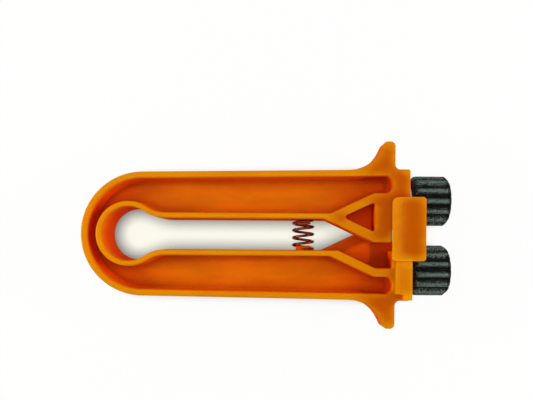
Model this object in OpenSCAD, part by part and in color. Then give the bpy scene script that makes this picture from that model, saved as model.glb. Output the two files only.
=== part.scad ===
// Frame wire tensioner: a bent handle whose arms press two toothed wheels together over a wire.
// It lies flat. +X runs from the bow to the wheels, +Y to the upper arm and +Z up.
// The origin is under the middle of the object, on the surface that it lies on.

/* [Handle] */
// Outer radius of the bow, half the width across the arms
bow_r = 24.2; // [22.5:0.1:27]
// Thickness of the moulding, rim to rim
body_h = 21.6; // [21:0.1:26]
// Length of an arm, from the bow's centre to the end face
arm_len = 104; // [92:0.5:125]
// Outward slope of an arm's outer edge, in degrees
flare = 0.8; // [0:0.1:1.5]
// Outer wall
outer_wall = 2.6; // [1.6:0.1:3.5]
// Inner wall, along the slot and round the eye
inner_wall = 2.2; // [1.6:0.1:3]
// Floor between the walls, at half height
web = 2.6; // [1.6:0.1:4]

/* [Slot and eye] */
// Clear width between the arms
slot_w = 12.2; // [10:0.1:14]
// Radius of the eye
eye_r = 10.5; // [9:0.1:11.5]
// Distance of the eye's centre behind the bow's centre
eye_back = 5.7; // [4:0.1:7]
// Radius of the curve that leads from the eye into the slot
neck_r = 15; // [10:0.5:20]

/* [Bend] */
// Radius of the line along which the bow bends without stretching
bend_r = 18.7; // [17:0.1:20]
// Reach of the seam past the bow's outer edge
seam_over = 1.6; // [1:0.1:3]
// Running gap in the seam
seam_gap = 0.1; // [0.05:0.01:0.3]

/* [Noses] */
// Length from a nose's root to the end face
nose_len = 33.5; // [28:0.5:38]
// Slope of the noses and their ribs, in degrees
nose_slope = 25.2; // [22:0.1:29]
// Reach of a nose past the middle of the slot
nose_reach = 3; // [1:0.1:4]
// Distance from a nose's root to the foot of its rib in the channel
fork_inset = 2.4; // [1.5:0.1:4]
// Thickness of a slanting rib
rib_w = 3.3; // [2.6:0.1:4]
// Thickness of the nose below its pocket
nose_edge = 3.8; // [2.5:0.1:5]
// Solid length of the nose in front of its pocket
nose_tip = 6.7; // [4:0.1:8]
// Gap between the two noses, which pass over each other
nose_gap = 0.4; // [0.3:0.05:1]
// Gap between a nose's end and the other arm's block
nose_end_gap = 0.1; // [0.1:0.05:1]
// Radius of the corners of a nose's pocket
pocket_r = 0.8; // [0.4:0.1:1.2]

/* [Arm ends] */
// Length of the solid end block
block_len = 7; // [5:0.1:10]
// Distance of the block from the middle of the slot, on the half with the nose
block_in = 2.3; // [2:0.1:4]
// Distance of a wheel's axis from the middle of the slot
axle_y = 14; // [13:0.1:15]
// Distance from a wheel's axis to the channel
axle_wall = 2.3; // [2.2:0.1:3]
// Width of the ledge between the channel and the recess for the other nose
ledge_w = 3.3; // [2.5:0.1:4.5]
// Distance of a finger stop behind the end face
stop_back = 5.9; // [4:0.1:10]
// Height of a finger stop over the arm's outer edge
stop_h = 10.9; // [6:0.1:14]
// Width of a finger stop at its top
stop_w = 4.2; // [4:0.1:6]
// Lean of a finger stop's flank, in degrees
stop_lean = 66; // [55:1:80]
// Radius of the curve up to a finger stop
stop_fillet = 14; // [6:0.5:16]
// Radius of a finger stop's tip
stop_tip_r = 1.9; // [1:0.1:2]
// Radius of the channel's end corners
channel_r = 2.9; // [1:0.1:3.2]
// Radius of the bends in ribs and ledges
knee_r = 1.5; // [0.8:0.1:2]
// Radius of small corners
corner_r = 0.6; // [0.3:0.1:1]

/* [Cover lug] */
// Rise of the lug over the rim
lug_rise = 4.4; // [2:0.1:7]
// Width of the flat ridge over the end face
ridge_w = 3.2; // [2:0.1:4.5]
// Reach of the lug in front of the end face
lug_over = 5; // [2:0.1:7]
// Reach of the lug along the lower arm's block
lug_low = 3.9; // [2:0.1:7]
// Reach of the lug above the middle of the slot
lug_high = 14.5; // [9:0.1:18]
// Gap under the lug
lug_gap = 0.3; // [0.3:0.05:1]
// Reach of the lug behind the block's back
lug_back = 0.2; // [0:0.1:1]
// Height of the raised end wall, as a share of the lug's
wall_share = 0.8; // [0.5:0.05:0.95]
// Distance from the block's back to the foot of the end wall's slope
slope_inset = 1.2; // [0.3:0.1:2]
// Distance from the arm's outer edge to the end of that slope
slope_end = 2.8; // [2:0.1:6]
// Radius of the lug's corners
lug_r = 1.5; // [0.5:0.1:2]

/* [Wheels] */
// Outer diameter of a wheel
wheel_d = 20.4; // [19:0.1:21]
// Width of a wheel
wheel_w = 14.5; // [11:0.1:20]
// Number of teeth
teeth = 14; // [10:1:18]
// Height of a tooth
tooth_h = 1.9; // [1.4:0.1:2.4]
// Width of a tooth's tip
tip_w = 1.1; // [0.6:0.1:1.4]
// Width of the bottom of a groove
root_w = 0.5; // [0.3:0.1:0.9]
// Chamfer at the ends of the teeth
wheel_chamfer = 1.6; // [0.5:0.1:1.8]
// Turn of the two wheels from tooth against groove, in degrees
wheel_turn = 4.2; // [0:0.1:12]

/* [Axles] */
// Diameter of the boss on the end face
boss_d = 12.4; // [9:0.1:15]
// Height of the boss
boss_h = 1; // [0.5:0.1:2.5]
// Diameter of a thrust washer
thrust_d = 12; // [9:0.1:14]
// Thickness of a thrust washer
thrust_t = 0.8; // [0.5:0.1:1.5]
// Outer diameter of an axle sleeve
sleeve_d = 7; // [6:0.1:8]
// Radial running clearance of a wheel on its sleeve
bore_gap = 0.05; // [0.02:0.01:0.1]
// End float of a wheel, at each end
end_float = 0.15; // [0.05:0.05:0.4]
// Diameter of the washer under a screw head
head_washer_d = 10.6; // [9:0.1:12]
// Thickness of the washer under a screw head
head_washer_t = 1; // [0.5:0.1:1.5]
// Diameter of an axle screw
screw_d = 4; // [3:0.1:4.2]
// Radial clearance round a screw
screw_gap = 0.05; // [0.02:0.01:0.15]
// Diameter of a screw head
head_d = 8; // [6.5:0.1:9]
// Height of a screw head
head_h = 2.6; // [2:0.1:3.5]
// Depth of a screw in the end block
screw_bite = 6.2; // [4:0.1:6.6]
// Room left below the bottom of a screw
screw_room = 0.3; // [0.2:0.1:0.6]
// Depth of a screw head below the wheel's front
head_sunk = 0.8; // [0.3:0.1:2]
// Room round the washer in the wheel's counterbore
counterbore_gap = 1.2; // [0.5:0.1:1.5]
// Width of the slots in a screw head
recess_w = 0.9; // [0.6:0.1:1.2]
// Length of the slots in a screw head
recess_len = 4.4; // [3:0.1:5]
// Depth of the slots in a screw head
recess_h = 1.4; // [0.8:0.1:1.8]

/* [Return spring] */
// Outer diameter of the spring
spring_d = 9.1; // [7:0.1:10]
// Diameter of the spring's wire
wire_d = 1.1; // [0.8:0.1:1.3]
// Number of curls
curls = 4.25; // [3.5:0.25:5]
// Share by which the curls draw together at the ends
end_draw = 0.05; // [0:0.05:0.35]
// Distance of the spring behind the root of the noses
spring_back = 7.7; // [6:0.1:25]
// Depth of the round seats in the walls that the spring presses on
seat_h = 0.6; // [0.2:0.1:1]
// Radial gap between the spring and its seats
seat_room = 0.2; // [0.1:0.05:0.4]
// Gap between the spring and the bottom of its seats
seat_gap = 0.1; // [0.05:0.05:0.3]
// Height of the pegs inside the spring's ends, over the walls
peg_h = 1.8; // [0.6:0.1:3]
// Radial gap between a peg and the spring
peg_gap = 0.5; // [0.3:0.1:0.9]

/* [Hidden] */
$fn = 64;

// Everything is drawn from the bow's centre at half height, and moved into place at the end.
half_h = body_h / 2;
half_slot = slot_w / 2;
reach = 2 * arm_len;
bite_through = 1;
arc_steps = 8;

// The eye and the curves that lead from it into the slot
eye_x = -eye_back;
neck_y = half_slot + neck_r;
neck_x = eye_x + sqrt((eye_r + neck_r) ^ 2 - neck_y ^ 2);
// The neck starts a little past the point where its curve touches the eye, so that the two cross.
neck_angle = atan2(neck_y, neck_x - eye_x) - 3;

// An arm turns about the centroid of its half of the bow's bending line.
bend_x = -2 / PI * bend_r;
bend_y = 2 / PI * bend_r;
seam_r = bow_r - bend_y + seam_over;

// Places along an arm
block_x = arm_len - block_len;
nose_x = arm_len - nose_len;
nose_end = block_x - nose_end_gap;
stop_x = arm_len - stop_back;
spring_x = nose_x - spring_back;
channel_y = axle_y + axle_wall;
ledge_y = channel_y - ledge_w;
wall_y = half_slot + inner_wall;
rise = tan(nose_slope);
rib_y = rib_w / cos(nose_slope);
edge_rise = nose_edge / cos(nose_slope);
fork_x = nose_x + fork_inset;

// Places along an axle
sleeve_x = arm_len + boss_h + thrust_t;
wheel_x = sleeve_x + end_float;
front_x = wheel_x + wheel_w;
counterbore_h = end_float + head_washer_t + head_h + head_sunk;
sleeve_len = wheel_w - counterbore_h + 2 * end_float;
head_x = sleeve_x + sleeve_len + head_washer_t;
lug_z = max(body_h, wheel_d) / 2 + lug_gap;
lug_top = half_h + lug_rise;

orange = [0.84, 0.43, 0.02];
steel = [0.36, 0.39, 0.39];
zinc = [0.72, 0.73, 0.74];
copper = [0.45, 0.19, 0.11];

// Places what is drawn from the bow's centre
module in_place() {
    translate([(bow_r - front_x) / 2, 0, half_h]) children();
}

// Places what is drawn along +Z on the axle of one side, 1 above the slot and -1 below it
module on_axle(side, x) {
    in_place() translate([x, side * axle_y, 0]) rotate([0, 90, 0]) children();
}

// Height of an arm's outer edge over the middle of the slot
function edge_y(x) = bow_r + x * tan(flare);

function unit(v) = v / norm(v);

// Points of the arc that rounds the corner `at` between its two neighbours
function corner_arc(before, at, after, r) =
    let (
        a = unit(before - at),
        b = unit(after - at),
        opening = acos(a * b),
        centre = at + unit(a + b) * r / sin(opening / 2),
        first = at + a * r / tan(opening / 2) - centre,
        start = atan2(first.y, first.x),
        turn = -sign(cross(a, b)) * (180 - opening) / arc_steps
    )
    [for (i = [0 : arc_steps]) centre + r * [cos(start + i * turn), sin(start + i * turn)]];

function flat(corner) = [corner.x, corner.y];

// Outline through corners given as [x, y, radius]; a corner of radius 0 stays sharp
function rounded(corners) = [
    for (i = [0 : len(corners) - 1])
        let (
            count = len(corners),
            at = corners[i],
            before = corners[(i + count - 1) % count],
            after = corners[(i + 1) % count]
        )
        each at.z == 0 ? [flat(at)] : corner_arc(flat(before), flat(at), flat(after), at.z)
];

// Outer edge of the upper arm, from the end face back to the bow
function outer_corners(with_stop) =
    let (
        tip_y = edge_y(stop_x) + stop_h,
        flank_x = stop_x - stop_w,
        foot_x = flank_x - stop_h / tan(stop_lean),
        flank_room = stop_h / sin(stop_lean) / tan(stop_lean / 2) - stop_tip_r
    )
    [
        [arm_len, edge_y(arm_len), corner_r],
        if (with_stop) each [
            [stop_x, edge_y(stop_x), stop_tip_r],
            [stop_x, tip_y, stop_tip_r],
            [flank_x, tip_y, stop_tip_r],
            [foot_x, edge_y(foot_x), min(stop_fillet, flank_room)]
        ],
        [0, bow_r, 0]
    ];

// Inner edge of the half with the nose, from the bow to the end face
function nose_corners() = [
    [0, half_slot, 0],
    [nose_x, half_slot, corner_r],
    [nose_x + (half_slot + nose_reach) / rise, -nose_reach, knee_r],
    [nose_end, -nose_reach, corner_r],
    [nose_end, block_in, 0],
    [arm_len, block_in, corner_r]
];

// Inner edge of the half with the recess for the other arm's nose
function recess_corners() =
    let (rib_x = fork_x + (rib_y - inner_wall) / rise)
    [
        [0, half_slot, 0],
        [rib_x, half_slot, corner_r],
        [rib_x + (ledge_y - half_slot) / rise, ledge_y, knee_r],
        [block_x, ledge_y, corner_r],
        [block_x, half_slot, corner_r],
        [arm_len, half_slot, corner_r]
    ];

// The eye and the slot, grown by a wall
module keyhole(wall) {
    translate([eye_x, 0]) circle(eye_r + wall);
    translate([eye_x, -half_slot - wall]) square([nose_x - eye_x, slot_w + 2 * wall]);
    difference() {
        polygon([
            [eye_x, 0],
            [neck_x, (neck_x - eye_x) * tan(neck_angle)],
            [neck_x, -(neck_x - eye_x) * tan(neck_angle)]
        ]);
        for (side = [1, -1]) translate([neck_x, side * neck_y]) circle(neck_r - wall);
    }
}

// The part of a disc round the bow's centre that an arm starts from
module quarter_disc(r) {
    intersection() {
        circle(r);
        translate([-r, 0]) square([r + bite_through, r]);
    }
}

// The disc that the bow ends in, on which an arm turns
module seam_disc(gap) {
    translate([bend_x, bend_y]) circle(seam_r + gap);
}

// Plan of the upper arm with the given inner edge, with or without its stop
module arm_plan(inner_corners, with_stop = false) {
    difference() {
        union() {
            polygon(rounded(concat(inner_corners, outer_corners(with_stop))));
            quarter_disc(bow_r);
        }
        keyhole(0);
        seam_disc(seam_gap);
        translate([-reach, -reach / 2]) square([reach + bend_x, reach]);
    }
}

// Plan of the long channel between the upper arm's walls
module channel_plan() {
    top_y = edge_y(block_x) - outer_wall;
    end_r = min(channel_r, 0.48 * (top_y - channel_y));
    difference() {
        union() {
            polygon(rounded([
                [0, wall_y, 0],
                [fork_x, wall_y, knee_r],
                [fork_x + (channel_y - wall_y) / rise, channel_y, knee_r],
                [block_x, channel_y, end_r],
                [block_x, top_y, end_r],
                [0, bow_r - outer_wall, 0]
            ]));
            quarter_disc(bow_r - outer_wall);
        }
        keyhole(inner_wall);
    }
}

// Plan of the three-cornered pocket in a nose
module pocket_plan() {
    end_x = nose_end - nose_tip;
    root_x = (half_slot - wall_y + (fork_x + nose_x) * rise + rib_y + edge_rise) / rise / 2;
    polygon(rounded([
        [root_x, wall_y + (root_x - fork_x) * rise - rib_y, pocket_r],
        [end_x, half_slot - (end_x - nose_x) * rise + edge_rise, pocket_r],
        [end_x, wall_y + (end_x - fork_x) * rise - rib_y, pocket_r]
    ]));
}

// Cuts a plan into the moulding from one face down to the floor
module cut_to_floor() {
    translate([0, 0, web / 2]) linear_extrude(body_h) children();
}

// The upper arm's moulding. The lower arm's is the same one turned over, but for its stop:
// on both arms, the stop is on the upper half.
module arm_moulding(stop_on_nose) {
    difference() {
        union() {
            linear_extrude(half_h) arm_plan(nose_corners(), stop_on_nose);
            mirror([0, 0, 1]) linear_extrude(half_h) arm_plan(recess_corners(), !stop_on_nose);
            translate([arm_len - bite_through, axle_y, 0])
                rotate([0, 90, 0]) cylinder(d = boss_d, h = boss_h + bite_through);
        }
        cut_to_floor() channel_plan();
        mirror([0, 0, 1]) cut_to_floor() channel_plan();
        cut_to_floor() pocket_plan();
        linear_extrude(nose_gap / 2) difference() {
            arm_plan(nose_corners());
            arm_plan(recess_corners());
        }
        translate([arm_len - screw_bite - screw_room, axle_y, 0])
            rotate([0, 90, 0])
                cylinder(d = screw_d + 2 * screw_gap, h = screw_bite + screw_room + boss_h + bite_through);
        translate([spring_x, half_slot - bite_through, 0])
            rotate([-90, 0, 0]) cylinder(r = spring_d / 2 + seat_room, h = seat_h + bite_through);
    }
    translate([spring_x, half_slot - peg_h, 0])
        rotate([-90, 0, 0])
            cylinder(r = spring_d / 2 - wire_d - peg_gap, h = peg_h + (seat_h + inner_wall) / 2);
}

// Bar along Y with the given outline in X and Z
module bar(outline, from_y, to_y) {
    translate([0, to_y, 0]) rotate([90, 0, 0]) linear_extrude(to_y - from_y) polygon(outline);
}

// Raised end wall of the lower arm, with the lug that reaches over the upper arm's block
module cover_lug() {
    foot_x = block_x - lug_back;
    wall_x = block_x + slope_inset;
    ridge_x = arm_len - ridge_w;
    wall_top = lug_z + wall_share * (lug_top - lug_z);
    low_y = -edge_y(arm_len);
    lug_x = arm_len + lug_over;
    lug_y = -half_slot - lug_low;
    root_z = half_h - bite_through;
    intersection() {
        bar([[foot_x, lug_z], [ridge_x, lug_top], [lug_x, lug_top], [lug_x, lug_z]], lug_y, lug_high);
        linear_extrude(reach) polygon(rounded([
            [foot_x, lug_y, 0],
            [lug_x, lug_y, lug_r],
            [lug_x, lug_high, lug_r],
            [foot_x, lug_high, lug_r]
        ]));
    }
    bar([[wall_x, root_z], [wall_x, lug_z], [ridge_x, wall_top], [arm_len, wall_top], [arm_len, root_z]],
        low_y + slope_end, -half_slot - corner_r);
    bar([[ridge_x, root_z], [ridge_x, wall_top], [arm_len, wall_top], [arm_len, root_z]],
        low_y + corner_r, low_y + slope_end + bite_through);
}

// The bow: round the eye, from one seam to the other
module bow() {
    color(orange) in_place() difference() {
        linear_extrude(body_h, center = true) intersection() {
            difference() {
                circle(bow_r);
                keyhole(0);
            }
            union() {
                translate([-reach, -reach / 2]) square([reach + bend_x, reach]);
                seam_disc(0);
                mirror([0, 1]) seam_disc(0);
            }
        }
        for (face = [0, 1]) mirror([0, 0, face]) cut_to_floor() difference() {
            circle(bow_r - outer_wall);
            keyhole(inner_wall);
        }
    }
}

module upper_arm() {
    color(orange) in_place() arm_moulding(true);
}

module lower_arm() {
    color(orange) in_place() {
        rotate([180, 0, 0]) arm_moulding(false);
        cover_lug();
    }
}

// Return spring: one wire whose curls draw together at the ends, with a straight cut at each end
curl_r = (spring_d - wire_d) / 2;
spring_h = slot_w + 2 * (seat_h - seat_gap) - wire_d;
rings_per_curl = 8;
wire_sides = 6;
spring_rings = curls * rings_per_curl;

function curl_angle(ring) = 360 * ring / rings_per_curl;

function curl_point(ring) =
    let (share = ring / spring_rings)
    [
        curl_r * sin(curl_angle(ring)),
        spring_h * (share - 0.5 - end_draw * sin(360 * share) / (2 * PI)),
        curl_r * cos(curl_angle(ring))
    ];

function curl_heading(ring) = [cos(curl_angle(ring)), 0, -sin(curl_angle(ring))];

function wire_ring(centre, ring) =
    let (
        outward = [sin(curl_angle(ring)), 0, cos(curl_angle(ring))],
        across = cross(curl_heading(ring), outward)
    )
    [
        for (i = [0 : wire_sides - 1])
            let (turn = 360 * i / wire_sides)
            centre + wire_d / 2 * (cos(turn) * outward + sin(turn) * across)
    ];

wire_path = [
    curl_point(0) - wire_d * curl_heading(0),
    for (ring = [0 : spring_rings]) curl_point(ring),
    curl_point(spring_rings) + wire_d * curl_heading(spring_rings)
];
wire_points = [
    for (i = [0 : len(wire_path) - 1])
        each wire_ring(wire_path[i], min(max(i - 1, 0), spring_rings))
];
wire_faces = [
    for (i = [0 : len(wire_path) - 2], k = [0 : wire_sides - 1])
        let (
            a = i * wire_sides + k,
            b = i * wire_sides + (k + 1) % wire_sides
        )
        each [[a, a + wire_sides, b], [b, a + wire_sides, b + wire_sides]],
    for (k = [1 : wire_sides - 2])
        let (last = (len(wire_path) - 1) * wire_sides)
        each [[0, k, k + 1], [last, last + k + 1, last + k]]
];

// Least gap between one stretch of the wire and the next, measured on its points
wire_gap = min([
    for (i = [0 : len(wire_path) - 1], j = [i + rings_per_curl / 2 : 1 : len(wire_path) - 1])
        norm(wire_path[i] - wire_path[j]) - wire_d
]);

module return_spring() {
    echo(least_gap_of_the_spring_wire = wire_gap);
    color(copper) in_place() translate([spring_x, 0, 0]) polyhedron(wire_points, wire_faces);
}

// Outline of a wheel's teeth, with one tooth at the given angle
function tooth_points(phase) = [
    for (i = [0 : teeth - 1])
        let (
            tip_r = wheel_d / 2,
            root_r = tip_r - tooth_h,
            middle = phase + 360 * i / teeth,
            tip_turn = asin(tip_w / 2 / tip_r),
            root_turn = 180 / teeth - asin(root_w / 2 / root_r)
        )
        each [
            root_r * [cos(middle - root_turn), sin(middle - root_turn)],
            tip_r * [cos(middle - tip_turn), sin(middle - tip_turn)],
            tip_r * [cos(middle + tip_turn), sin(middle + tip_turn)],
            root_r * [cos(middle + root_turn), sin(middle + root_turn)]
        ]
];

// Toothed wheel along +Z, bored for its sleeve and sunk for the screw head
module wheel(phase) {
    difference() {
        intersection() {
            linear_extrude(wheel_w) polygon(tooth_points(phase));
            rotate_extrude() polygon([
                [0, 0],
                [wheel_d / 2 - wheel_chamfer, 0],
                [wheel_d / 2, wheel_chamfer],
                [wheel_d / 2, wheel_w - wheel_chamfer],
                [wheel_d / 2 - wheel_chamfer, wheel_w],
                [0, wheel_w]
            ]);
        }
        translate([0, 0, -bite_through]) cylinder(d = sleeve_d + 2 * bore_gap, h = reach);
        translate([0, 0, wheel_w - counterbore_h])
            cylinder(d = head_washer_d + 2 * counterbore_gap, h = reach);
    }
}

// Upper wheel, a groove towards the lower wheel
module upper_wheel() {
    color(steel) on_axle(1, wheel_x) wheel(-90 + 180 / teeth + wheel_turn);
}

// Lower wheel, a tooth towards the upper wheel
module lower_wheel() {
    color(steel) on_axle(-1, wheel_x) wheel(90 - wheel_turn);
}

// Ring along +Z, drilled for the screw
module drilled_ring(d, h) {
    difference() {
        cylinder(d = d, h = h);
        translate([0, 0, -bite_through]) cylinder(d = screw_d + 2 * screw_gap, h = h + 2 * bite_through);
    }
}

// Axle screw along +Z from the end of its thread, with a domed head and a cross recess
module screw() {
    shank = head_x - arm_len + screw_bite;
    dome_r = head_d / 2 + head_h / 2;
    difference() {
        union() {
            cylinder(d = screw_d, h = shank + bite_through);
            translate([0, 0, shank]) intersection() {
                cylinder(d = head_d, h = head_h);
                translate([0, 0, head_h - dome_r]) sphere(dome_r);
            }
        }
        for (turn = [0, 90]) translate([0, 0, shank + head_h - recess_h])
            rotate([0, 0, turn]) translate([-recess_len / 2, -recess_w / 2, 0])
                cube([recess_len, recess_w, head_h]);
    }
}

module upper_sleeve() {
    color(zinc) on_axle(1, sleeve_x) drilled_ring(sleeve_d, sleeve_len);
}

module lower_sleeve() {
    color(zinc) on_axle(-1, sleeve_x) drilled_ring(sleeve_d, sleeve_len);
}

module upper_screw() {
    color(zinc) on_axle(1, arm_len - screw_bite) screw();
}

module lower_screw() {
    color(zinc) on_axle(-1, arm_len - screw_bite) screw();
}

module upper_head_washer() {
    color(zinc) on_axle(1, head_x - head_washer_t) drilled_ring(head_washer_d, head_washer_t);
}

module lower_head_washer() {
    color(zinc) on_axle(-1, head_x - head_washer_t) drilled_ring(head_washer_d, head_washer_t);
}

module upper_thrust_washer() {
    color(zinc) on_axle(1, arm_len + boss_h) drilled_ring(thrust_d, thrust_t);
}

module lower_thrust_washer() {
    color(zinc) on_axle(-1, arm_len + boss_h) drilled_ring(thrust_d, thrust_t);
}

bow();
upper_arm();
lower_arm();
return_spring();
upper_wheel();
lower_wheel();
upper_sleeve();
lower_sleeve();
upper_screw();
lower_screw();
upper_head_washer();
lower_head_washer();
upper_thrust_washer();
lower_thrust_washer();
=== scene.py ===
import math

import bmesh
import bpy
from mathutils import Matrix, Vector, geometry, noise


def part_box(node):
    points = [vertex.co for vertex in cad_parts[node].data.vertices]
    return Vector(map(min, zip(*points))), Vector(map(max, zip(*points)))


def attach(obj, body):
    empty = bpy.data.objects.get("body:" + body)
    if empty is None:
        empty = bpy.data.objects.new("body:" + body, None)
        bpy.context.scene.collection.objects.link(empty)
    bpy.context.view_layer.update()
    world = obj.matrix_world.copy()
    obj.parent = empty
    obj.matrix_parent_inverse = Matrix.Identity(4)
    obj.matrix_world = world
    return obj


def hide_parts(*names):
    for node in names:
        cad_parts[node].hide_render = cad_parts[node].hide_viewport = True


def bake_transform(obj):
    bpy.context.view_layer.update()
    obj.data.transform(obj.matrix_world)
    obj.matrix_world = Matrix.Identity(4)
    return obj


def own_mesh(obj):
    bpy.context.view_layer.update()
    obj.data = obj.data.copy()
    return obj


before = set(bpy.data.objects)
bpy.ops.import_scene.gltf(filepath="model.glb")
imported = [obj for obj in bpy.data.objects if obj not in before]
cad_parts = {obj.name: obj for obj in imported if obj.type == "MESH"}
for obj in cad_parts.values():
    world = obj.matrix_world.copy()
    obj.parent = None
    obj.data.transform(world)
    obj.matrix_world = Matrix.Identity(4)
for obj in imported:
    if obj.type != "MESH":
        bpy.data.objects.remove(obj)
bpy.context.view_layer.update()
scene = bpy.context.scene

# Camera: looks straight down on the tool where it lies, from about a quarter of a metre.
# The lens axis meets the table below the middle of the picture, and the picture is a little askew.
picture_w = 533
focal_px = 606
axis_right_px = 7.7
axis_down_px = 45.9
camera = bpy.data.objects.new("camera", bpy.data.cameras.new("camera"))
scene.collection.objects.link(camera)
camera.location = (0.003, -0.0045, 0.2566)
camera.rotation_euler = (0, 0, math.radians(0.38))
camera.data.sensor_width = 36
camera.data.lens = camera.data.sensor_width * focal_px / picture_w
camera.data.shift_x = -axis_right_px / picture_w
camera.data.shift_y = axis_down_px / picture_w
scene.camera = camera

# Handle: one moulding of orange polypropylene, bent round the eye like a pair of sugar tongs.
# Both faces are cored out to a floor at half height, which leaves rounded rims round every edge.
# It is made in two pieces that meet in the middle of the bow.
bow_r = 24.2
half_h = 10.8
arm_len = 104
taper = math.tan(math.radians(0.8))
outer_wall = 2.6
inner_wall = 2.2
half_web = 1.3
half_slot = 6.1
wall_y = half_slot + inner_wall
eye_x = -5.7
eye_r = 10.5
neck_r = 15
neck_y = half_slot + neck_r
neck_x = eye_x + math.sqrt((eye_r + neck_r) ** 2 - neck_y**2)
touch = math.degrees(math.atan2(neck_y, neck_x - eye_x))
block_x = 97
nose_x = 70.5
nose_end = 96.9
nose_y = -3
nose_r = 1
nose_wall = 6.7
block_in = 2.3
axle_y = 14
boss_r = 6.2
boss_h = 1
channel_y = 16.3
ledge_y = 13
pocket_r = 0.8
fork_x = 72.9
fork_angle = math.radians(25.2)
rise = math.tan(fork_angle)
rib_y = 3.3 / math.cos(fork_angle)
edge_rise = 3.8 / math.cos(fork_angle)
parting_z = 0.2
parting_proud = 0.03
draft = 0.06
rim_r = 0.8
rim_crisper = 0.3
rim_last = 6
crisp_x = 66
crisp_run = 10
seam_reach = 5
seam_gap_deg = 2.5
seam_tuck = 0.03
seam_lowered = 0.997
core_foot_r = 0.8
pocket_foot_r = 0.4
same_place = 0.001
handle_x = 1000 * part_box("bow")[0].x + bow_r


def place(x, y, z):
    """A point drawn in millimetres from the bow's centre at half height, in the frame's metres."""
    return Vector((x + handle_x, y, z + half_h)) / 1000


def edge_y(x):
    """Outer edge of the upper arm, which slopes outwards a little."""
    return bow_r + x * taper


def arc(cx, cy, r, start, end):
    """Points of an arc, at most 2 degrees apart."""
    steps = math.ceil(abs(end - start) / 2)
    turns = [math.radians(start + (end - start) * k / steps) for k in range(steps + 1)]
    return [Vector((cx + r * math.cos(t), cy + r * math.sin(t))) for t in turns]


def rounded(corners):
    """Path through corners given as (x, y, radius)."""
    path = []
    for i, (x, y, r) in enumerate(corners):
        at = Vector((x, y))
        if r == 0:
            path.append(at)
            continue
        back = (Vector(corners[i - 1][:2]) - at).normalized()
        on = (Vector(corners[(i + 1) % len(corners)][:2]) - at).normalized()
        half = back.angle(on) / 2
        centre = at + (back + on).normalized() * r / math.sin(half)
        first = at + back * r / math.tan(half) - centre
        turn = math.copysign(math.pi - 2 * half, -back.cross(on))
        steps = max(3, math.ceil(abs(math.degrees(turn)) / 10))
        path += [centre + Matrix.Rotation(turn * k / steps, 2) @ first for k in range(steps + 1)]
    return path


def spaced(path):
    """The same path with a point at least every 4 mm, and no point twice."""
    fine = [path[0]]
    for at in path[1:]:
        start = fine[-1]
        length = (at - start).length
        if length > same_place:
            cuts = math.ceil(length / 4)
            fine += [start.lerp(at, (k + 1) / cuts) for k in range(cuts)]
    return fine


def left_sides(path, known, closed):
    """Direction to the left at each point, stretched in bends so that a shifted path keeps its distance."""
    sides = []
    for i, at in enumerate(path):
        before = (at - path[i - 1]).normalized()
        after = (path[(i + 1) % len(path)] - at).normalized()
        if not closed and i == 0:
            before = after
        if not closed and i == len(path) - 1:
            after = before
        for spot, heading in known:
            if (at - spot).length < same_place:
                before = heading
                after = heading
        along = (before + after).normalized()
        sides.append(Vector((-along.y, along.x)) / max(0.5, along.dot(before)))
    return sides


def rim_radius(at):
    """The rims of the long walls are softly rounded, and those of the solid end are crisper."""
    share = min(1, max(0, (at.x - crisp_x) / crisp_run))
    return rim_r - rim_crisper * share * share * (3 - 2 * share)


def skin(bm, path, known, rings, closed=False, hole=()):
    """Lofts a path through rings of (shift, shift per rim radius, height, height per rim radius).

    The stretches that hole lists are left open below the rim. Past the seam, where one half runs on
    inside the other, the path is a little lower.
    """
    sides = left_sides(path, known, closed)
    rows = []
    for a, b, z, c in rings:
        row = []
        for at, side in zip(path, sides):
            r = rim_radius(at)
            lowered = seam_lowered if at.x < 0 and at.y < -same_place else 1
            row.append(bm.verts.new(place(*(at + side * (a + b * r)), lowered * (z + c * r))))
        rows.append(row)
    for depth, (upper, lower) in enumerate(zip(rows, rows[1:])):
        for i in range(len(path) if closed else len(path) - 1):
            j = (i + 1) % len(path)
            if depth < rim_last or i not in hole:
                bm.faces.new((upper[i], upper[j], lower[j], lower[i]))
    return rows


def fill(bm, *loops):
    """Flat face inside the first loop, with holes where the others are."""
    verts = [v for loop in loops for v in loop]
    for triangle in geometry.tessellate_polygon([[v.co * 1000 for v in loop] for loop in loops]):
        bm.faces.new([verts[i] for i in triangle])


def turned(bm, profile, spot):
    """Turned form through (radius, distance along the axis), open at its start; spot places its points."""
    columns = 64
    turns = [math.tau * k / columns for k in range(columns)]
    rows = [[bm.verts.new(spot(r * math.cos(t), r * math.sin(t), s)) for t in turns] for r, s in profile]
    for lower, upper in zip(rows, rows[1:]):
        for i in range(columns):
            bm.faces.new((lower[i - 1], lower[i], upper[i], upper[i - 1]))
    bm.faces.new(rows[-1])
    return rows[0]


def eased_end(r, end, way):
    """Profile round the end edge of a turned form, which is eased by 0.3 mm; way is the end's direction."""
    ease = 0.3
    middle = 0.09
    return [(r, end - way * ease), (r - middle, end - way * middle), (r - ease, end)]


def past_seam(cx, r):
    """The stretch of an arc by which one half runs on inside the other, past the seam of the two."""
    return arc(cx, 0, r, 180 + math.degrees(math.asin(seam_reach / r)), 180 + seam_gap_deg)


def stop_path():
    """Outline of the finger stop, from the arm's outer edge out to its tip and back."""
    stop_x = 98.1
    stop_w = 4.2
    stop_h = 10.9
    stop_r = 1.9
    stop_foot_r = 14
    stop_lean = math.radians(66)
    flank_x = stop_x - stop_w
    tip_y = edge_y(stop_x) + stop_h
    foot_x = flank_x - stop_h / math.tan(stop_lean)
    corners = [
        (arm_len, edge_y(arm_len), 0),
        (stop_x, edge_y(stop_x), stop_r),
        (stop_x, tip_y, stop_r),
        (flank_x, tip_y, stop_r),
        (foot_x, edge_y(foot_x), stop_foot_r),
        (0, bow_r, 0),
    ]
    return rounded(corners)[1:-1]


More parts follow.
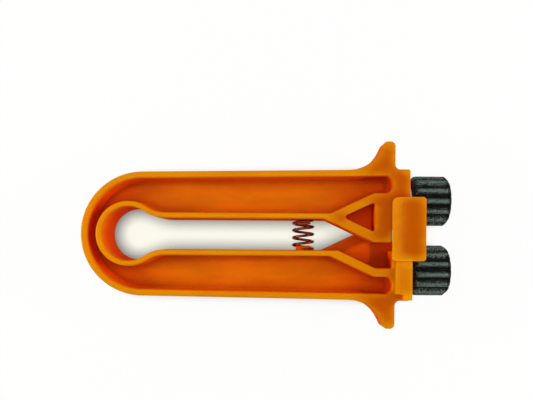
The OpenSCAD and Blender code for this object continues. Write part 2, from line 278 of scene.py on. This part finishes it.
def wall_path(inner_corners, with_stop):
    """Edge of the upper half, from the eye along the slot, round the arm's end and back to the bow."""
    inner = past_seam(eye_x, eye_r + seam_tuck) + arc(eye_x, 0, eye_r, 180, touch)
    inner += arc(neck_x, neck_y, neck_r, 180 + touch, 270)
    stop = stop_path()
    corners = [(*inner[-1], 0), (*seat_start, 0), (*seat_end, 0)] + inner_corners
    corners += [(*end_spot, 0), (arm_len, edge_y(arm_len), 0.9), (*stop[0], 0)]
    outer = arc(0, 0, bow_r, 90, 180) + past_seam(0, bow_r - seam_tuck)[::-1]
    return spaced(inner + rounded(corners) + (stop if with_stop else stop[-1:]) + outer)


def channel_path():
    """Edge of the long hollow between the inner and the outer wall of the upper half."""
    ring_r = eye_r + inner_wall
    inner = past_seam(eye_x, ring_r - seam_tuck) + arc(eye_x, 0, ring_r, 180, touch)
    inner += arc(neck_x, neck_y, neck_r - inner_wall, 180 + touch, 270)
    top_y = edge_y(block_x) - outer_wall
    corners = [
        (*inner[-1], 0),
        (fork_x, wall_y, 1.5),
        (fork_x + (channel_y - wall_y) / rise, channel_y, 1.5),
        (block_x, channel_y, 2.8),
        (block_x, top_y, 2.8),
        (0, bow_r - outer_wall, 0),
    ]
    outer = arc(0, 0, bow_r - outer_wall, 90, 180) + past_seam(0, bow_r - outer_wall + seam_tuck)[::-1]
    return spaced(inner + rounded(corners) + outer)


def pocket_path():
    """Edge of the three-cornered pocket in the nose."""
    end_x = nose_end - nose_wall
    root_x = (half_slot - wall_y + (fork_x + nose_x) * rise + rib_y + edge_rise) / rise / 2
    corners = [
        (root_x, wall_y + (root_x - fork_x) * rise - rib_y, pocket_r),
        (end_x, half_slot - (end_x - nose_x) * rise + edge_rise, pocket_r),
        (end_x, wall_y + (end_x - fork_x) * rise - rib_y, pocket_r),
    ]
    path = spaced(rounded(corners))
    return path[:-1] if (path[0] - path[-1]).length < same_place else path


def rim_rings(face, into):
    """Rings over a rounded rim, from its flat top to its side; face is 1 on top and -1 underneath."""
    lip = 0.06
    rings = [(into * lip, into, face * half_h, 0)]
    for k in range(rim_last):
        turn = math.radians(90 * k / (rim_last - 1))
        rings.append((0, into * (1 - math.sin(turn)), face * half_h, -face * (1 - math.cos(turn))))
    return rings


def wall_rings(face):
    """Rim and side of an edge, down to the parting line, which stands a little proud."""
    rim = [(a + draft, b, z, c) for a, b, z, c in rim_rings(face, 1)]
    above_parting = (0.6, 0.12)
    foot = [(0, 0, parting_z + face * height, 0) for height in above_parting]
    return rim + foot + [(-parting_proud, 0, parting_z, 0)]


def core_rings(face, foot_r):
    """Rim, side and rounded foot of a cored hollow, down to the floor."""
    foot = []
    foot_steps = 4
    lip = 0.1
    for k in range(foot_steps + 1):
        turn = math.radians(90 * k / foot_steps)
        shift = draft + foot_r * (1 - math.cos(turn))
        foot.append((shift, 0, face * (half_web + foot_r * (1 - math.sin(turn))), 0))
    foot.append((draft + foot_r + lip, 0, face * half_web, 0))
    return rim_rings(face, -1) + foot


end_spot = (arm_len, 8)
spring_x = 62.8
seat_r = 4.75
seat_depth = 0.6
seat_reach = 5.7
peg_r = 2.95
peg_len = 1.8
seat_start = (spring_x - seat_reach, half_slot)
seat_end = (spring_x + seat_reach, half_slot)
nose_root = (nose_x - nose_r * math.tan(fork_angle / 2), half_slot)
rib_x = fork_x + (rib_y - inner_wall) / rise
nose_corners = [
    (nose_x, half_slot, nose_r),
    (nose_x + (half_slot - nose_y) / rise, nose_y, 1.5),
    (nose_end, nose_y, 0.9),
    (nose_end, block_in, 0.5),
    (arm_len, block_in, 0.9),
]
recess_corners = [
    (*nose_root, 0),
    (rib_x, half_slot, 1),
    (rib_x + (ledge_y - half_slot) / rise, ledge_y, 1.5),
    (block_x, ledge_y, 0.9),
    (block_x, half_slot, 0.9),
    (arm_len, half_slot, 0.9),
]


def stretch(path, first, last):
    """Numbers of a path's points from one place to another."""
    ends = [min(range(len(path)), key=lambda i: (path[i] - Vector(at)).length) for at in (first, last)]
    return range(ends[0], ends[1] + 1)


def moulding(stop_on_top):
    """The upper half of the handle: nose above, recess for the other arm's nose below."""
    bm = bmesh.new()
    stop = stop_path()
    along_edge = Vector((-1, -taper)).normalized()
    known = [(Vector(nose_root), Vector((1, 0))), (Vector(end_spot), Vector((0, 1)))]
    known += [(stop[0], along_edge), (stop[-1], along_edge)]
    nose_path = wall_path(nose_corners, stop_on_top)
    recess_path = wall_path(recess_corners, not stop_on_top)
    core_path = channel_path()
    seat = stretch(nose_path, seat_start, seat_end)
    top = skin(bm, nose_path, known, wall_rings(1), hole=seat[:-1])
    under = skin(bm, recess_path, known, wall_rings(-1), hole=seat[:-1])
    top_core = skin(bm, core_path, [], core_rings(1, core_foot_r))
    under_core = skin(bm, core_path, [], core_rings(-1, core_foot_r))
    pocket = skin(bm, pocket_path(), [], core_rings(1, pocket_foot_r), closed=True)
    fill(bm, top[0] + top_core[0][::-1], pocket[0])
    fill(bm, under[0] + under_core[0][::-1])
    for floor in (top_core[-1], under_core[-1], pocket[-1]):
        fill(bm, floor)
    for first, last in ((nose_root, end_spot), (stop[0], stop[-1])):
        upper_edge = [top[-1][i] for i in stretch(nose_path, first, last)]
        lower_edge = [under[-1][i] for i in stretch(recess_path, first, last)]
        fill(bm, upper_edge + lower_edge[-2:0:-1])
    seat_form = [(seat_r, 0), (seat_r, seat_depth), (peg_r, seat_depth)] + eased_end(peg_r, -peg_len, -1)
    seat_edge = turned(bm, seat_form, lambda u, v, s: place(spring_x + u, half_slot + s, v))
    side = [[row[i] for row in top[rim_last + 1 :] + under[-2:rim_last:-1]] for i in (seat[0], seat[-1])]
    seat_top = [top[rim_last][i] for i in seat]
    seat_low = [under[rim_last][i] for i in seat]
    fill(bm, seat_top + side[1] + seat_low[::-1] + side[0][::-1], seat_edge)
    section = [row[-1] for row in top[::-1] + top_core] + [row[0] for row in top_core[::-1] + top]
    section += [row[0] for row in under[-2::-1] + under_core]
    section += [row[-1] for row in under_core[::-1] + under[:-1]]
    fill(bm, section)
    weld = 5e-6
    bmesh.ops.remove_doubles(bm, verts=bm.verts, dist=weld)
    boss = [(boss_r, -boss_h)] + eased_end(boss_r, boss_h, 1)
    bm.faces.new(turned(bm, boss, lambda u, v, s: place(arm_len + s, axle_y + u, v)))
    return bm


def piece(name, bm, material):
    """Turns a finished mesh into an object, smooth except where its faces meet at a real edge."""
    real_edge = math.radians(36)
    bmesh.ops.recalc_face_normals(bm, faces=bm.faces)
    for face in bm.faces:
        face.smooth = True
    for edge in bm.edges:
        edge.smooth = edge.calc_face_angle(0) < real_edge
    mesh = bpy.data.meshes.new(name)
    bm.to_mesh(mesh)
    bm.free()
    mesh.materials.append(material)
    made = bpy.data.objects.new(name, mesh)
    scene.collection.objects.link(made)
    return made


def colour(code):
    """A hex sRGB colour as linear values."""
    parts = [int(code[i : i + 2], 16) / 255 for i in (1, 3, 5)]
    return [c / 12.92 if c <= 0.04045 else ((c + 0.055) / 1.055) ** 2.4 for c in parts] + [1]


def add(tree, kind, settings, links):
    """Adds a node, sets its options and sockets, and links its inputs."""
    node = tree.nodes.new(kind)
    for name, value in settings.items():
        if isinstance(name, str) and hasattr(node, name):
            setattr(node, name, value)
        else:
            node.inputs[name].default_value = value
    for name, source in links.items():
        tree.links.new(source, node.inputs[name])
    return node


def finish(name):
    """A new material, with its tree, its shader and the coordinates of the piece in metres."""
    made = bpy.data.materials.new(name)
    made.use_nodes = True
    tree = made.node_tree
    coords = add(tree, "ShaderNodeTexCoord", {}, {})
    return made, tree, tree.nodes["Principled BSDF"], coords.outputs["Object"]


def pattern(tree, spot, size, detail, roughness=0.5):
    """Noise whose features are about this many millimetres across."""
    settings = {"Scale": 1000 / size, "Detail": detail, "Roughness": roughness}
    return add(tree, "ShaderNodeTexNoise", settings, {"Vector": spot}).outputs[0]


def calculated(tree, operation, value, other, base=None):
    """Arithmetic on two or three values, each a number or another node's output."""
    settings = {"operation": operation}
    links = {}
    for i, item in enumerate((value, other, base)):
        if isinstance(item, (int, float)):
            settings[i] = item
        elif item is not None:
            links[i] = item
    return add(tree, "ShaderNodeMath", settings, links).outputs[0]


def remap(tree, value, start, end, low=0, high=1):
    """The value taken from start and end to low and high, and held between them."""
    settings = {"From Min": start, "From Max": end, "To Min": low, "To Max": high}
    return add(tree, "ShaderNodeMapRange", settings, {"Value": value}).outputs[0]


def ramp(tree, value, first, last, *between):
    """Colours over a value, from stops of (position, hex colour)."""
    node = add(tree, "ShaderNodeValToRGB", {}, {"Fac": value})
    stops = node.color_ramp.elements
    for stop, (position, code) in zip(stops[:], (first, last)):
        stop.position = position
        stop.color = colour(code)
    for position, code in between:
        stops.new(position).color = colour(code)
    return node.outputs[0]


def mixed(tree, share, first, second):
    """From the first colour to the second as the share goes from 0 to 1."""
    links = {0: share, 6: first, 7: second}
    return add(tree, "ShaderNodeMix", {"data_type": "RGBA"}, links).outputs[2]


def surface(tree, shader, tint, roughness, relief, strength, depth):
    """Links a shader's colour, roughness and relief, whose depth is in millimetres."""
    settings = {"Strength": strength, "Distance": depth / 1000}
    bump = add(tree, "ShaderNodeBump", settings, {"Height": relief})
    tree.links.new(tint, shader.inputs["Base Color"])
    tree.links.new(roughness, shader.inputs["Roughness"])
    tree.links.new(bump.outputs[0], shader.inputs["Normal"])


# Moulded polypropylene: a warm, slightly waxy orange that lets some light through. Painted light: thin
# walls and edges are painted a brighter yellow and solid stretches a darker orange, and painted shade makes
# hollows a deeper red.
# The mould's grain is about 0.05 mm and is drawn at 0.3 mm so that it shows.
moulded, tree, shader, spot = finish("moulded_polypropylene_orange")
flow = add(tree, "ShaderNodeMapping", {"Scale": (0.3, 1, 1)}, {"Vector": spot})
streaks = pattern(tree, flow.outputs[0], size=6, detail=3)
# Painted light: by how thick the plastic is under each point, thin walls and edges are painted a brighter
# yellow and solid stretches a darker orange.
through = {"inside": True, "only_local": True, "samples": 8, "Distance": 0.004}
thick = add(tree, "ShaderNodeAmbientOcclusion", through, {}).outputs["AO"]
uneven = calculated(tree, "SUBTRACT", streaks, 0.5)
thick = calculated(tree, "MULTIPLY_ADD", uneven, 0.4, thick)
tint = ramp(tree, thick, (0.12, "#E69A05"), (0.9, "#BE5400"))
facing = add(tree, "ShaderNodeNewGeometry", {}, {})
facing = add(tree, "ShaderNodeSeparateXYZ", {}, {0: facing.outputs["Normal"]})
facing = add(tree, "ShaderNodeMath", {"operation": "ABSOLUTE"}, {0: facing.outputs[2]}).outputs[0]
# Painted shade: hollows are painted a deeper red by how closed in they are, and faces turned up or down and
# solid stretches are painted a darker red still.
painted_shade_depth = calculated(tree, "MULTIPLY_ADD", facing, 0.5, thick)
painted_hollow_shade = ramp(tree, painted_shade_depth, (0.85, "#EC4A00"), (1, "#B43000"))
cover = add(tree, "ShaderNodeAmbientOcclusion", {"samples": 8, "Distance": 0.04}, {})
open_up = remap(tree, cover.outputs["AO"], start=0.26, end=0.92)
# The colour carries painted light on thin parts and painted shade in hollows.
colour_with_painted_light = mixed(tree, open_up, painted_hollow_shade, tint)
handled = calculated(tree, "MULTIPLY_ADD", pattern(tree, spot, size=4, detail=4), 0.5, facing)
sheen = remap(tree, handled, start=0.2, end=1.2, low=0.95, high=0.28)
grain = pattern(tree, spot, size=0.3, detail=2)
surface(tree, shader, colour_with_painted_light, sheen, grain, strength=0.35, depth=0.03)
shader.inputs["IOR"].default_value = 1.49
shader.inputs["Specular IOR Level"].default_value = 0.12
shader.inputs["Specular Tint"].default_value = colour("#FFB060")
shader.inputs["Subsurface Weight"].default_value = 0.4
shader.inputs["Subsurface Radius"].default_value = (1, 0.5, 0.2)
shader.inputs["Subsurface Scale"].default_value = 0.002

upper_handle = piece("upper_handle", moulding(True), moulded)


# Cover lug: moulded on the lower arm's end wall, which is raised for it. It reaches over the upper
# arm's block and the backs of both wheels, and keeps the arms in line when they are squeezed.
lower = moulding(False)
lower.transform(Matrix.Translation((0, 0, 2 * half_h / 1000)) @ Matrix.Diagonal((1, -1, -1, 1)))
lug_z = 11.1
lug_top = 15.2
lug_x = 109
lug_foot_x = 96.8
lug_ridge_x = 100.8
lug_high_y = 14.5
lug_low_y = -10
raised_foot_x = 98.2
raised_y = -9
raised_top = lug_top - 0.8
raised_sunk = 1
beside_stop = 2.8
edge_inset = 0.6
low_y = -edge_y(arm_len)


def sloped_block(bm, corners, bottom_z, top_z, foot_x, edge_r):
    """Adds a block with rounded edges, whose top falls away from the ridge to the foot of the slope."""
    block = bmesh.new()
    plan = spaced(rounded(corners))
    bottom = [block.verts.new(place(*at, bottom_z)) for at in plan]
    top = [block.verts.new(place(*at, top_z)) for at in plan]
    for i in range(len(plan)):
        block.faces.new((bottom[i - 1], bottom[i], top[i], top[i - 1]))
    block.faces.new(bottom)
    block.faces.new(top)
    bmesh.ops.recalc_face_normals(block, faces=block.faces)
    bmesh.ops.bisect_plane(
        block,
        geom=block.verts[:] + block.edges[:] + block.faces[:],
        plane_co=place(foot_x, 0, lug_z),
        plane_no=Vector((lug_z - top_z, 0, lug_ridge_x - foot_x)),
        clear_outer=True,
        dist=1e-7,
    )
    bmesh.ops.holes_fill(block, edges=[e for e in block.edges if e.is_boundary])
    bmesh.ops.recalc_face_normals(block, faces=block.faces)
    real_edge = math.radians(25)
    low_end = place(0, 0, lug_z + 0.05).z
    sharp = [e for e in block.edges if e.calc_face_angle(0) > real_edge]
    sharp = [e for e in sharp if max(v.co.z for v in e.verts) > low_end]
    bmesh.ops.bevel(
        block,
        geom=sharp,
        offset=edge_r / 1000,
        segments=4,
        profile=0.5,
        affect="EDGES",
        clamp_overlap=True,
    )
    mesh = bpy.data.meshes.new("block")
    block.to_mesh(mesh)
    block.free()
    bm.from_mesh(mesh)
    bpy.data.meshes.remove(mesh)


lug_corners = [
    (lug_foot_x, lug_high_y, 2),
    (lug_foot_x, lug_low_y, 1.2),
    (lug_x, lug_low_y, 1.3),
    (lug_x, lug_high_y, 1.3),
]
sloped_block(lower, lug_corners, lug_z, lug_top, lug_foot_x, 1)
wall_corners = [
    (raised_foot_x, raised_y, 0),
    (raised_foot_x, low_y + beside_stop, 0.3),
    (lug_ridge_x, low_y + beside_stop, 0.3),
    (lug_ridge_x, low_y + edge_inset, 0.5),
    (arm_len, low_y + edge_inset, 0.5),
    (arm_len, raised_y, 0),
]
sloped_block(lower, wall_corners, half_h - raised_sunk, raised_top, raised_foot_x, 0.7)
lower_handle = piece("lower_handle", lower, moulded)

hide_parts("upper_arm", "bow")
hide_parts("lower_arm")
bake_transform(upper_handle)
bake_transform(lower_handle)

# Return spring: a short compression spring of copper-washed steel wire, set between the arms
# on two moulded pegs. The curls draw together at the ends, and the wire is cut off straight.
curl_r = 4
wire_r = 0.55
curls = 4.25
spring_h = 2 * half_slot + 1 - 2 * wire_r
end_closing = 0.05
wire_steps = 162
wire_sides = 14


def curl_point(share):
    """Middle of the wire, at a share of its length."""
    turn = math.tau * curls * share
    along = spring_h * (share - 0.5 - end_closing * math.sin(math.tau * share) / math.tau)
    return Vector((curl_r * math.sin(turn), along, curl_r * math.cos(turn)))


def curl_heading(share):
    """Direction in which the wire runs on round the curl."""
    turn = math.tau * curls * share
    return Vector((math.cos(turn), 0, -math.sin(turn)))


coil = bmesh.new()
wire_line = [(curl_point(k / wire_steps), k / wire_steps) for k in range(wire_steps + 1)]
tail = 2 * wire_r
wire_line.insert(0, (curl_point(0) - tail * curl_heading(0), 0))
wire_line.append((curl_point(1) + tail * curl_heading(1), 1))
wire_rows = []
for at, share in wire_line:
    outward = Vector((math.sin(math.tau * curls * share), 0, math.cos(math.tau * curls * share)))
    across = curl_heading(share).cross(outward)
    ring = []
    for k in range(wire_sides):
        turn = math.tau * k / wire_sides
        skin_at = at + wire_r * (math.cos(turn) * outward + math.sin(turn) * across)
        ring.append(coil.verts.new(place(spring_x + skin_at.x, skin_at.y, skin_at.z)))
    wire_rows.append(ring)
for near, far in zip(wire_rows, wire_rows[1:]):
    for i in range(wire_sides):
        coil.faces.new((near[i - 1], near[i], far[i], far[i - 1]))
coil.faces.new(wire_rows[0])
coil.faces.new(wire_rows[-1])

# Copper-washed spring wire: drawn smooth, a dark brown red where the wash has tarnished
# and a lighter copper where it has not, with faint marks of the die.
drawn, tree, shader, spot = finish("copper_washed_spring_wire")
tarnish = pattern(tree, spot, size=1.2, detail=4)
tint = ramp(tree, tarnish, (0.36, "#48160F"), (0.66, "#9A4430"))
polish = remap(tree, tarnish, start=0, end=1, low=0.38, high=0.2)
die_marks = pattern(tree, spot, size=0.25, detail=2)
surface(tree, shader, tint, polish, die_marks, strength=0.3, depth=0.02)
shader.inputs["Metallic"].default_value = 1

return_spring = piece("spring_coil", coil, drawn)
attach(return_spring, "bow")
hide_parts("return_spring")
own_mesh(return_spring)

# Crimping wheels: cast iron, with fourteen blunt teeth that press a zigzag into the wire.
# They are left as cast, dark and oiled, and turn freely on their sleeves at the ends of the arms.
tip_r = 10.2
root_r = 8.3
teeth = 14
wheel_back = 105.95
wheel_w = 14.5
wheel_face_r = 7.9
chamfer = 1.6
tooth_turn = math.tau / teeth
tip_half_deg = 3.09
root_half_deg = 11.13
worn_reach = 4
worn_step_deg = 0.35
columns = teeth * 18
end_slack = 0.05
chamfer_soft = 0.04
chamfer_lift = 0.02
skin_scale = 1.1
skin_depth = 0.05
skin_sunk = 0.03
counterbore_r = 6.5
counterbore_floor = 9.95
bore_r = 3.55
mouth_ease = 0.25
floor_ease = 0.15


def tooth_radius(turn):
    """Radius of the teeth, with corners worn round by taking the mean over a small angle."""
    total = 0
    for k in range(-worn_reach, worn_reach + 1):
        shifted = turn + math.radians(worn_step_deg * k)
        off = abs((shifted + tooth_turn / 2) % tooth_turn - tooth_turn / 2)
        share = (math.degrees(off) - tip_half_deg) / (root_half_deg - tip_half_deg)
        total += tip_r + (root_r - tip_r) * min(1, max(0, share))
    return total / (2 * worn_reach + 1)


def cast_wheel(side, phase):
    """A wheel with teeth that are chamfered at both ends, an uneven skin, a bore and a counterbore."""
    bm = bmesh.new()
    turns = [math.tau * k / columns for k in range(columns)]
    near_end = [0, 0.12, 0.35, 0.65, 1, 1.3, 1.6, 2]
    middle_w = wheel_w - 2 * near_end[-1]
    middle_steps = 22
    stations = near_end + [near_end[-1] + middle_w * k / middle_steps for k in range(1, middle_steps)]
    stations += [wheel_w - s for s in reversed(near_end)]
    rows = []
    for s in stations:
        limit = tip_r - chamfer + min(chamfer, s + end_slack, wheel_w + end_slack - s)
        row = []
        for turn in turns:
            r = tooth_radius(turn - math.radians(phase))
            gap = r - limit
            r = (r + limit - math.sqrt(gap * gap + chamfer_soft)) / 2 + chamfer_lift
            at = (s, r * math.sin(turn), r * math.cos(turn))
            rough = noise.noise(Vector([c * skin_scale for c in at]))
            r += skin_depth * rough - skin_sunk
            y = side * axle_y + r * math.sin(turn)
            row.append(bm.verts.new(place(wheel_back + s, y, -r * math.cos(turn))))
        rows.append(row)
    bored = [
        (wheel_face_r, wheel_w),
        (counterbore_r + mouth_ease, wheel_w),
        (counterbore_r, wheel_w - mouth_ease),
        (counterbore_r, counterbore_floor + floor_ease),
        (counterbore_r - floor_ease, counterbore_floor),
        (bore_r + mouth_ease, counterbore_floor),
        (bore_r, counterbore_floor - mouth_ease),
        (bore_r, mouth_ease),
        (bore_r + mouth_ease, 0),
        (wheel_face_r, 0),
    ]
    for r, s in bored:
        row = []
        for turn in turns:
            y = side * axle_y + r * math.sin(turn)
            row.append(bm.verts.new(place(wheel_back + s, y, -r * math.cos(turn))))
        rows.append(row)
    for near, far in zip(rows, rows[1:] + rows[:1]):
        for i in range(columns):
            bm.faces.new((near[i - 1], near[i], far[i], far[i - 1]))
    return bm


# Cast iron, as cast and oiled: a dark grey green skin with a sandy texture of about 0.45 mm.
# The grooves are painted darker, partly for grime and partly as painted shade, and the tips of the teeth
# lighter where the wire rubs them.
# The front edge is painted near black, as painted shade on its chamfer.
def oiled_iron(name, side):
    """The wheels' material, with the grooves of the wheel on this side of the tool."""
    made, tree, shader, spot = finish("cast_iron_oiled_" + name)
    axis = Vector((0, side * axle_y / 1000, half_h / 1000))
    out = add(tree, "ShaderNodeVectorMath", {"operation": "SUBTRACT", 1: axis}, {0: spot})
    out = add(tree, "ShaderNodeVectorMath", {"operation": "MULTIPLY", 1: (0, 1, 1)}, {0: out.outputs[0]})
    out = add(tree, "ShaderNodeVectorMath", {"operation": "LENGTH"}, {0: out.outputs[0]})
    # Darker towards the roots of the teeth: partly grime, partly painted shade in the grooves.
    height = remap(tree, out.outputs["Value"], root_r / 1000, tip_r / 1000)
    sand = pattern(tree, spot, size=0.45, detail=5, roughness=0.65)
    wear_and_painted_shade = calculated(tree, "ADD", sand, -0.5)
    wear_and_painted_shade = calculated(tree, "MULTIPLY_ADD", wear_and_painted_shade, 4.5, height)
    middle_x = place(wheel_back + wheel_w / 2, 0, 0).x
    along = add(tree, "ShaderNodeSeparateXYZ", {}, {0: spot})
    along = calculated(tree, "SUBTRACT", along.outputs[0], middle_x)
    # Painted shade: the chamfer of the front edge is painted near black.
    front_painted_shade = remap(tree, along, start=0.0056, end=0.0063, low=0, high=-1.6)
    wear_and_painted_shade = calculated(tree, "ADD", wear_and_painted_shade, front_painted_shade)
    tint = ramp(tree, wear_and_painted_shade, (0.05, "#020300"), (1, "#5A6860"), (0.55, "#151B17"))
    patches = pattern(tree, spot, size=3, detail=3)
    oily = remap(tree, patches, start=0, end=1, low=0.34, high=0.62)
    surface(tree, shader, tint, oily, sand, strength=1, depth=0.4)
    shader.inputs["Metallic"].default_value = 0.7
    shader.inputs["Specular IOR Level"].default_value = 0.2
    return made


tooth_offset = 4.2
upper_phase = -90 + 180 / teeth + tooth_offset
lower_phase = 90 - tooth_offset
upper_wheel = piece("upper_cast_wheel", cast_wheel(1, upper_phase), oiled_iron("upper", 1))
lower_wheel = piece("lower_cast_wheel", cast_wheel(-1, lower_phase), oiled_iron("lower", -1))
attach(upper_wheel, "upper_wheel")
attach(lower_wheel, "lower_wheel")
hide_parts("upper_wheel")
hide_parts("lower_wheel")

# Axles: a screw with a cross recess holds a sleeve, a thrust washer and a head washer on each arm.
# They are turned or stamped from steel and zinc plated, and keep the shapes that they are built with.
# The plating gives a pale grey with faint clouds, dulled unevenly.
plated, tree, shader, spot = finish("zinc_plated_steel")
spangle = pattern(tree, spot, size=1.5, detail=3)
tint = ramp(tree, spangle, (0.35, "#A9AFB4"), (0.65, "#CFCFC6"))
dulled = remap(tree, spangle, start=0, end=1, low=0.24, high=0.42)
tool_marks = pattern(tree, spot, size=0.25, detail=2)
surface(tree, shader, tint, dulled, tool_marks, strength=0.25, depth=0.02)
shader.inputs["Metallic"].default_value = 1
for end in ("upper", "lower"):
    for kind in ("sleeve", "screw", "head_washer", "thrust_washer"):
        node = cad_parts[f"{end}_{kind}"]
        for holder in node.material_slots:
            holder.material = plated
        joined = node.modifiers.new("joined", "WELD")
        joined.merge_threshold = 1e-6
        eased = node.modifiers.new("eased", "BEVEL")
        eased.width = 0.00015
        eased.segments = 3
        eased.limit_method = "ANGLE"
        eased.angle_limit = math.radians(40)

# Table: plain pale card, which keeps a faint shadow of the tool from the lamps. Its own light carries a
# painted soft shadow round the tool and a painted shade that darkens towards the walls of the slot.
# Seen directly it is mostly lit from itself, so that it stays white without more light on the tool.
half_table = 2
own_light = 0.94
card = bmesh.new()
corners = [(-half_table, -half_table), (half_table, -half_table)]
corners += [(half_table, half_table), (-half_table, half_table)]
card.faces.new([card.verts.new((x, y, 0)) for x, y in corners])
table_mesh = bpy.data.meshes.new("table")
card.to_mesh(table_mesh)
card.free()
table = bpy.data.objects.new("table", table_mesh)
scene.collection.objects.link(table)


def seen_rays(tree):
    """1 for rays that show a surface: from the camera, off a gloss or through a clear piece."""
    path = add(tree, "ShaderNodeLightPath", {}, {})
    seen = path.outputs["Is Camera Ray"]
    for kind in ("Is Glossy Ray", "Is Transmission Ray"):
        seen = calculated(tree, "MAXIMUM", seen, path.outputs[kind])
    return seen


matt, tree, shader, spot = finish("white_card")
shader.inputs["Base Color"].default_value = colour("#F4F2EC")
shader.inputs["Roughness"].default_value = 0.9
shader.inputs["Specular IOR Level"].default_value = 0.1
near = add(tree, "ShaderNodeAmbientOcclusion", {"Distance": 0.007, "samples": 16}, {}).outputs["AO"]
around = add(tree, "ShaderNodeAmbientOcclusion", {"Distance": 0.03, "samples": 16}, {}).outputs["AO"]
# Painted shade and painted shadow on the card's own light, by how closed in each spot is.
slot_painted_shade = ramp(tree, near, (0.235, "#000000"), (0.95, "#FFFDF0"))
painted_shadow_round_tool = ramp(tree, near, (0.2, "#A8A6A4"), (0.85, "#FFFFFF"))
freed = remap(tree, around, start=0.36, end=0.5)
shade = mixed(tree, freed, slot_painted_shade, painted_shadow_round_tool)
glow = add(tree, "ShaderNodeEmission", {"Strength": 1}, {"Color": shade})
share = calculated(tree, "MULTIPLY", seen_rays(tree), own_light)
both = add(tree, "ShaderNodeMixShader", {}, {0: share, 1: shader.outputs[0], 2: glow.outputs[0]})
tree.links.new(both.outputs[0], tree.nodes["Material Output"].inputs["Surface"])
table.data.materials.append(matt)

# Studio: a pale room, a soft lamp above, and a low soft lamp off each end of the tool.
# The room lights the tool at 0.4 and is white where it is seen, directly or in a reflection.
studio = bpy.data.worlds.new("studio")
scene.world = studio
studio.use_nodes = True
tree = studio.node_tree
room = tree.nodes["Background"]
room.inputs["Color"].default_value = colour("#FFFFFF")
level = remap(tree, seen_rays(tree), start=0, end=1, low=0.4, high=1)
tree.links.new(level, room.inputs["Strength"])
for name, spot, size, power in (
    ("top_lamp", (-0.1, 0.12, 0.7), 0.4, 1.0),
    ("right_lamp", (0.6, 0.02, 0.28), 0.4, 2.9),
    ("left_lamp", (-0.6, 0.02, 0.28), 0.16, 2.4),
):
    lamp = bpy.data.objects.new(name, bpy.data.lights.new(name, "AREA"))
    lamp.data.energy = power
    lamp.data.size = size
    lamp.location = spot
    lamp.visible_camera = False
    lamp.rotation_euler = (-Vector(spot)).to_track_quat("-Z", "Y").to_euler()
    scene.collection.objects.link(lamp)

scene.view_settings.view_transform = "Standard"
